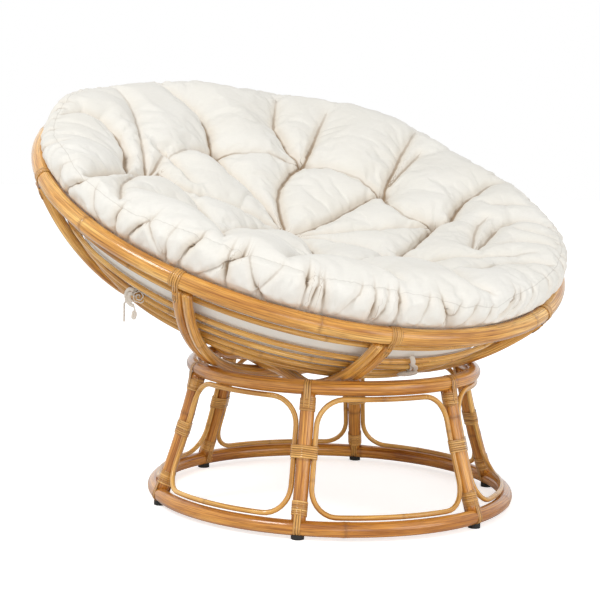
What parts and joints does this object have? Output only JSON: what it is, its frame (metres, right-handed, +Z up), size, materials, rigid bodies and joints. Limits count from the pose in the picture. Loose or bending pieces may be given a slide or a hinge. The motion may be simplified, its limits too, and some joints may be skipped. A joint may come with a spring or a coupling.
{
  "type": "papasan chair",
  "caption": "Round rattan bowl chair, its tilted bowl of woven bent poles and canes resting on a low ring base, with a thick tufted cushion.",
  "frame": {"origin": "on the floor, under the middle of the box round the whole chair", "axes": "+Z up, -Y the low side of the tilted bowl (the front), +X to the right as one looks at the front"},
  "size_m": [1.102, 1.0374, 0.846],
  "materials": {
    "rattan_pole": "clear gloss lacquer",
    "rattan_cane": "clear gloss lacquer",
    "binding_strand": "satin",
    "foot_pad": "matte",
    "cushion_cloth": "plain woven cotton, matte",
    "tie_cloth": "plain woven cotton, matte"
  },
  "bodies": {
    "base": {"base_ring_top": "rattan_pole", "base_ring_bottom": "rattan_pole", "leg_1": "rattan_pole", "leg_2": "rattan_pole", "leg_3": "rattan_pole", "leg_4": "rattan_pole", "leg_5": "rattan_pole", "leg_6": "rattan_pole", "hoop_1": "rattan_cane", "hoop_2": "rattan_cane", "hoop_3": "rattan_cane", "hoop_4": "rattan_cane", "hoop_5": "rattan_cane", "hoop_6": "rattan_cane", "leg_binding_1": "binding_strand", "leg_binding_2": "binding_strand", "leg_binding_3": "binding_strand", "leg_binding_4": "binding_strand", "leg_binding_5": "binding_strand", "leg_binding_6": "binding_strand", "foot_1": "foot_pad", "foot_2": "foot_pad", "foot_3": "foot_pad", "foot_4": "foot_pad", "foot_5": "foot_pad", "foot_6": "foot_pad"},
    "bowl": {"bowl_rim": "rattan_pole", "arch_1a": "rattan_pole", "arch_1b": "rattan_pole", "arch_2a": "rattan_pole", "arch_2b": "rattan_pole", "arch_3a": "rattan_pole", "arch_3b": "rattan_pole", "arch_4a": "rattan_pole", "arch_4b": "rattan_pole", "thin_ring_1": "rattan_cane", "thin_ring_2": "rattan_cane", "thin_ring_3": "rattan_cane", "thin_ring_4": "rattan_cane", "thin_ring_5": "rattan_cane", "rim_binding_1": "binding_strand", "rim_binding_2": "binding_strand", "rim_binding_3": "binding_strand", "rim_binding_4": "binding_strand", "rim_binding_5": "binding_strand", "rim_binding_6": "binding_strand", "rim_binding_7": "binding_strand", "rim_binding_8": "binding_strand", "cushion": "cushion_cloth", "tie_left": "tie_cloth", "tie_right": "tie_cloth", "tie_left_tail": "tie_cloth"}
  },
  "joints": [
    {"name": "bowl_tilt", "type": "hinge", "parent": "base", "child": "bowl", "pos_m": [0, -0.10562, 0.8498], "axis": [1, 0, 0], "range_deg": [-22, 12]}
  ]
}
